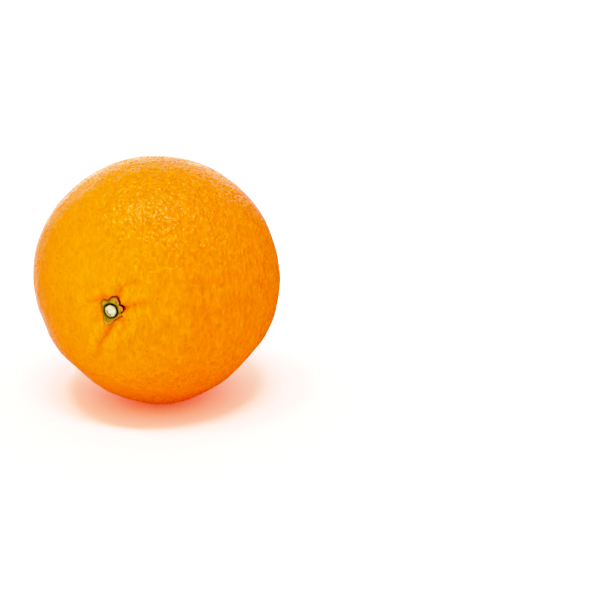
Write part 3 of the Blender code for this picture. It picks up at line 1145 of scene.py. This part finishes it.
def make_camera(settings):
    """The camera, placed so that the fruit falls where the photograph has it, at the same size."""
    focal = settings.lens / SENSOR_WIDTH * PHOTO_WIDTH
    distance = FRUIT_RADIUS * sqrt((focal / FRUIT_PIXEL_RADIUS) ** 2 + 1)
    rotation = Euler((pi / 2 - CAMERA_PITCH, 0.0, CAMERA_YAW))
    across = (FRUIT_PIXEL[0] - PHOTO_WIDTH / 2) / focal
    up = (PHOTO_WIDTH / 2 - FRUIT_PIXEL[1]) / focal
    ray = rotation.to_matrix() @ Vector((across, up, -1.0)).normalized()
    data = bpy.data.cameras.new("photo_camera")
    data.lens = settings.lens
    data.sensor_width = SENSOR_WIDTH
    data.clip_start = 0.01
    camera = bpy.data.objects.new("photo_camera", data)
    camera.location = MIDDLE - distance * ray
    camera.rotation_euler = rotation
    bpy.context.scene.collection.objects.link(camera)
    bpy.context.scene.camera = camera


def colour_property(name, value, description):
    return FloatVectorProperty(
        name=name, default=value, subtype="COLOR", min=0.0, max=1.0, description=description
    )


def length_property(name, value, description, least=0.0):
    return FloatProperty(
        name=name, default=value, min=least, unit="LENGTH", precision=6, description=description
    )


def share_property(name, value, description, least=0.0, most=1.0):
    return FloatProperty(
        name=name, default=value, min=least, max=most, subtype="FACTOR", description=description
    )


def strength_property(name, value, description):
    return FloatProperty(name=name, default=value, min=0.0, description=description)


def count_property(name, value, description, least):
    return IntProperty(name=name, default=value, min=least, description=description)


class PeelSettings(bpy.types.PropertyGroup):
    """Sizes and colours of the peel"""

    pit_fineness: IntProperty(
        name="Pit fineness", default=6, min=3, max=6, description="How often the pits' ball is split"
    )
    pit_share: share_property("Pit share", 0.27, "A pit's radius, as part of the spacing", 0.05, 0.45)
    pit_depth: length_property("Pit depth", 0.15 * MM, "Depth of the broadest pits")
    pebble_height: length_property("Pebble height", 0.03 * MM, "Height of a pebble between the pits")
    ridge_height: length_property("Ridge height", 0.06 * MM, "Height of the winding ridges")
    wrinkle_height: length_property("Wrinkle height", 0.18 * MM, "Height of the finest wrinkles")
    streak_stretch: FloatProperty(
        name="Streak stretch", default=0.38, min=0.05, max=1.0, description="How drawn out the streaks are"
    )
    roughness: share_property("Roughness", 0.26, "How dull the waxy skin is")
    # The pits' darkness is painted shade, partly the glands' own colour, and the ridges' lightness is
    # painted light
    pit_shade: share_property("Pit shade", 0.08, "How much darker the pits are")
    ridge_light: share_property("Ridge light", 0.08, "How much lighter the ridges are")
    fleck_shade: share_property("Fleck shade", 0.17, "How uneven the skin's lightness is")
    # Painted sheen along the wrinkles
    painted_wrinkle_sheen: share_property("Wrinkle light", 0.12, "How much paler the wrinkles are")
    # The creases' darkness is painted shade
    crease_shade: share_property("Crease shade", 0.05, "How dark the creases beside the wrinkles are")
    gloss_tint: colour_property("Gloss tint", (1.0, 0.96, 0.27), "Colour of the wax's gloss")
    light_skin: colour_property("Light skin", (0.80, 0.219, 0.001), "Skin on the upper left")
    # Painted shade on the right and below
    painted_shade_skin: colour_property("Deep skin", (0.80, 0.167, 0.001), "Skin on the right and below")
    # Painted shade, deepest at the lower right
    painted_deep_shade_skin: colour_property("Deepest skin", (0.76, 0.105, 0.001), "Skin at the lower right")
    pale_skin: colour_property("Pale skin", (0.82, 0.26, 0.004), "Faint pale patches")
    stem_skin: colour_property("Stem skin", (0.82, 0.268, 0.001), "Yellower skin round the stem")
    # Painted shade in the furrows' beds and close to the calyx
    painted_furrow_shade: colour_property("Furrow skin", (0.80, 0.115, 0.001), "Bed of the furrows")
    # Painted shade along the bottom of the furrows
    painted_crease_line: colour_property("Line skin", (0.48, 0.075, 0.002), "Line along the furrows' beds")
    # Painted light on the furrows' lips and on the wrinkles
    painted_light_skin: colour_property("Lip skin", (0.88, 0.32, 0.003), "Lips beside the furrows")
    gap_skin: colour_property("Gap skin", (0.12, 0.02, 0.001), "Shaded skin in the gap beside the calyx")
    scar: colour_property("Scar", (0.16, 0.06, 0.012), "Dry scar at the blossom end")
    scar_rim: colour_property("Scar rim", (0.62, 0.22, 0.006), "Duller skin round the scar")
    speck: colour_property("Speck", (0.30, 0.08, 0.01), "Tiny brown marks")


class CalyxSettings(bpy.types.PropertyGroup):
    """Fineness and colours of the calyx"""

    steps: count_property("Steps", 200, "Faces round the calyx", 40)
    section_parts: count_property("Section parts", 3, "Faces between two section points", 1)
    inner_green: colour_property("Inner green", (0.060, 0.075, 0.008), "Collar round the stalk")
    olive: colour_property("Olive", (0.225, 0.160, 0.012), "Sepals")
    yellow_green: colour_property("Yellow green", (0.42, 0.270, 0.020), "Lighter patches")
    dry_tan: colour_property("Dry tan", (0.66, 0.30, 0.055), "Dried edges")
    speck: colour_property("Speck", (0.10, 0.04, 0.006), "Dark dots")


class StalkSettings(bpy.types.PropertyGroup):
    """Fineness, depth and colours of the stalk's end"""

    steps: count_property("Steps", 96, "Faces round the stalk's end", 24)
    rings: count_property("Rings", 26, "Rings of faces on its top", 6)
    tear_depth: length_property("Tear depth", 0.50 * MM, "Depth of the crack")
    wood: colour_property("Wood", (0.66, 0.75, 0.60), "Pale middle")
    grey_wood: colour_property("Grey wood", (0.40, 0.48, 0.36), "Greyish flecks")
    cream: colour_property("Cream", (0.86, 0.72, 0.26), "Torn strip")
    rim: colour_property("Rim", (0.55, 0.56, 0.28), "Greenish rim")
    # Painted shade inside the crack
    crack: colour_property("Crack", (0.09, 0.08, 0.035), "Inside the crack")


class StageSettings(bpy.types.PropertyGroup):
    """The floor, the light and the camera's lens"""

    lens: FloatProperty(name="Lens", default=100.0, min=20.0, unit="CAMERA", description="Focal length")
    floor_size: length_property("Floor size", 8.0, "Side of the floor", 1.0)
    floor_colour: colour_property("Floor", (0.97, 0.97, 0.97), "Plain pale floor")
    # Painted light: the floor's red glow, which reddens the shadows
    painted_floor_glow: colour_property("Floor glow", (0.35, 0.04, 0.02), "Faint warm light of the floor itself")
    room_light: colour_property("Room light", (1.0, 0.99, 1.0), "Soft light from all round")
    warm_light: colour_property("Warm light", (1.0, 0.58, 0.05), "The room's light low down in front")
    mirrored_light: colour_property("Mirrored light", (1.0, 0.95, 1.0), "The wall that the skin mirrors")
    key_colour: colour_property("Key colour", (0.78, 0.95, 1.0), "Light overhead and at the windows")
    room_strength: strength_property("Room strength", 1.15, "Strength of the soft light from all round")
    mirrored_strength: strength_property("Mirrored strength", 2.1, "Strength of the mirrored wall")
    key_strength: strength_property("Key strength", 2.60, "Strength of the light overhead")
    window_strength: strength_property("Window strength", 1.2, "Strength of the mirrored windows")
    key_angle: FloatProperty(
        name="Key angle", default=radians(10), subtype="ANGLE", description="Breadth of each lamp"
    )


class ORANGE_OT_stage(bpy.types.Operator):
    """Make the floor, the soft light and the camera"""

    bl_idname = "orange.make_stage"
    bl_label = "Make Stage"

    def execute(self, context):
        settings = context.scene.orange_stage
        make_floor(settings)
        make_world(settings)
        make_lamps(settings)
        make_camera(settings)
        set_tone_curve(context.scene.view_settings)
        return {"FINISHED"}


class ORANGE_OT_peel(bpy.types.Operator):
    """Make the pitted peel of the whole fruit"""

    bl_idname = "orange.make_peel"
    bl_label = "Make Peel"

    def execute(self, context):
        make_peel(context.scene.orange_peel)
        return {"FINISHED"}


class ORANGE_OT_calyx(bpy.types.Operator):
    """Make the green calyx round the stem"""

    bl_idname = "orange.make_calyx"
    bl_label = "Make Calyx"

    def execute(self, context):
        make_calyx(context.scene.orange_calyx)
        return {"FINISHED"}


class ORANGE_OT_stalk_end(bpy.types.Operator):
    """Make the torn end of the stalk"""

    bl_idname = "orange.make_stalk_end"
    bl_label = "Make Stalk End"

    def execute(self, context):
        make_stalk_end(context.scene.orange_stalk)
        return {"FINISHED"}


class ORANGE_PT_panel(bpy.types.Panel):
    """Lists the steps that make the orange"""

    bl_label = "Fresh Orange"
    bl_idname = "ORANGE_PT_panel"
    bl_space_type = "VIEW_3D"
    bl_region_type = "UI"
    bl_category = "Orange"

    def draw(self, context):
        column = self.layout.column(align=True)
        for operator in OPERATORS:
            column.operator(operator.bl_idname)


OPERATORS = (ORANGE_OT_stage, ORANGE_OT_peel, ORANGE_OT_calyx, ORANGE_OT_stalk_end)
SETTINGS = {
    "orange_peel": PeelSettings,
    "orange_calyx": CalyxSettings,
    "orange_stalk": StalkSettings,
    "orange_stage": StageSettings,
}


def register():
    for cls in (*SETTINGS.values(), *OPERATORS, ORANGE_PT_panel):
        bpy.utils.register_class(cls)
    for name, cls in SETTINGS.items():
        setattr(bpy.types.Scene, name, PointerProperty(type=cls))


def unregister():
    for name in SETTINGS:
        delattr(bpy.types.Scene, name)
    for cls in (ORANGE_PT_panel, *reversed(OPERATORS), *reversed(SETTINGS.values())):
        bpy.utils.unregister_class(cls)


def main():
    register()
    bpy.ops.orange.make_stage()
    bpy.ops.orange.make_peel()
    bpy.ops.orange.make_calyx()
    bpy.ops.orange.make_stalk_end()


if __name__ == "__main__":
    main()
